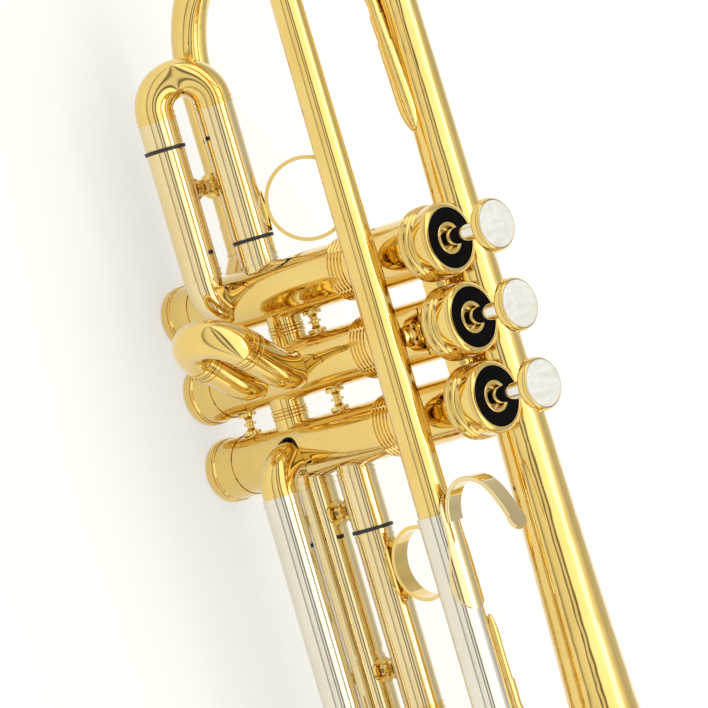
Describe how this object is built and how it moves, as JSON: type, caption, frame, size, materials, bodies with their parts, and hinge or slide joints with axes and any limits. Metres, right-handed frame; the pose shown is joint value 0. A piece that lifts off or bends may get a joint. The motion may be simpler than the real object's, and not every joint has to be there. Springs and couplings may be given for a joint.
{
  "type": "trumpet",
  "caption": "Piston-valve trumpet with pull-out tuning slides, a water key, finger rings, a hook and a separate mouthpiece.",
  "frame": {"origin": "on the middle valve's axis, 64 mm below the tops of the valve caps, where the left hand holds it", "axes": "+X towards the bell, +Z towards the buttons, +Y to the player's left"},
  "size_m": [0.506, 0.13, 0.1803],
  "materials": {
    "lacquered_brass": "clear lacquer over polished yellow brass",
    "gold_brass": "satin gold brass under lacquer",
    "pale_brass": "clear lacquer over pale nickel brass",
    "nickel_silver": "polished nickel silver",
    "stem_steel": "polished steel",
    "monel": "lapped valve alloy",
    "pearl": "polished mother of pearl",
    "black_felt": "dense felt",
    "rubber": "moulded rubber",
    "spring_steel": "drawn wire",
    "cork": "cut cork",
    "silver_plate": "polished silver plate",
    "guide_plastic": "moulded nylon"
  },
  "bodies": {
    "frame": {"bell": "lacquered_brass", "bell_tail_elbow": "gold_brass", "leadpipe": "lacquered_brass", "mouthpiece_receiver": "lacquered_brass", "valve_casing_1": "lacquered_brass", "valve_casing_2": "lacquered_brass", "valve_casing_3": "lacquered_brass", "top_caps": "lacquered_brass", "bottom_caps": "lacquered_brass", "cap_felts": "black_felt", "valve_guides": "guide_plastic", "casing_knuckles": "lacquered_brass", "turned_braces": "lacquered_brass", "main_slide_outer_tubes": "nickel_silver", "third_casing_elbow": "lacquered_brass", "third_slide_fixed_tubes": "pale_brass", "first_slide_fixed_high": "pale_brass", "first_slide_fixed_low": "pale_brass", "fixed_tube_o_rings": "rubber", "first_slide_brace": "lacquered_brass", "second_slide_fixed_tubes": "lacquered_brass", "leadpipe_casing_brace": "lacquered_brass", "bell_casing_brackets": "lacquered_brass", "rear_z_brace": "lacquered_brass", "front_z_brace": "lacquered_brass", "finger_hook": "pale_brass", "valve_spring_1": "spring_steel", "valve_spring_2": "spring_steel", "valve_spring_3": "spring_steel"},
    "valve_1": {"piston_1": "monel", "stem_1": "stem_steel", "button_1": "lacquered_brass", "button_pearl_1": "pearl"},
    "valve_2": {"piston_2": "monel", "stem_2": "stem_steel", "button_2": "lacquered_brass", "button_pearl_2": "pearl"},
    "valve_3": {"piston_3": "monel", "stem_3": "stem_steel", "button_3": "lacquered_brass", "button_pearl_3": "pearl"},
    "main_slide": {"main_slide_legs": "nickel_silver", "main_slide_crook": "lacquered_brass", "main_slide_brace": "lacquered_brass", "water_key_saddle": "lacquered_brass", "water_key_screw": "stem_steel"},
    "water_key": {"water_key_lever": "lacquered_brass", "water_key_cork": "cork"},
    "first_slide": {"first_slide_legs": "pale_brass", "first_slide_crook": "lacquered_brass", "first_slide_o_ring": "rubber", "first_slide_thumb_ring": "lacquered_brass"},
    "second_slide": {"second_slide_legs": "nickel_silver", "second_slide_crook": "lacquered_brass"},
    "third_slide": {"third_slide_legs": "pale_brass", "third_slide_crook": "lacquered_brass", "third_slide_brace": "lacquered_brass", "third_slide_finger_ring": "lacquered_brass"},
    "mouthpiece": {"mouthpiece": "silver_plate"}
  },
  "joints": [
    {"name": "valve_1_press", "type": "slide", "parent": "frame", "child": "valve_1", "axis": [0, 0, -1], "range_m": [0, 0.0164], "stiffness_N_per_m": 180, "springref_m": -0.018, "deforming": ["valve_spring_1"]},
    {"name": "valve_2_press", "type": "slide", "parent": "frame", "child": "valve_2", "axis": [0, 0, -1], "range_m": [0, 0.0164], "stiffness_N_per_m": 180, "springref_m": -0.018, "deforming": ["valve_spring_2"]},
    {"name": "valve_3_press", "type": "slide", "parent": "frame", "child": "valve_3", "axis": [0, 0, -1], "range_m": [0, 0.0164], "stiffness_N_per_m": 180, "springref_m": -0.018, "deforming": ["valve_spring_3"]},
    {"name": "main_slide_pull", "type": "slide", "parent": "frame", "child": "main_slide", "axis": [1, 0, 0], "range_m": [0, 0.045]},
    {"name": "first_slide_pull", "type": "slide", "parent": "frame", "child": "first_slide", "axis": [-1, 0, 0], "range_m": [0, 0.02]},
    {"name": "second_slide_pull", "type": "slide", "parent": "frame", "child": "second_slide", "axis": [-0.5878, -0.809, 0], "range_m": [0, 0.005]},
    {"name": "third_slide_pull", "type": "slide", "parent": "frame", "child": "third_slide", "axis": [1, 0, 0], "range_m": [0, 0.025]},
    {"name": "mouthpiece_pull", "type": "slide", "parent": "frame", "child": "mouthpiece", "axis": [-1, 0, 0], "range_m": [0, 0.03]},
    {"name": "water_key_turn", "type": "hinge", "parent": "main_slide", "child": "water_key", "pos_m": [0.13807, -0.0184, -0.0358], "axis": [0, 1, 0], "range_deg": [0, 12], "stiffness_Nm_per_rad": 0.05, "springref_deg": -17.19}
  ]
}
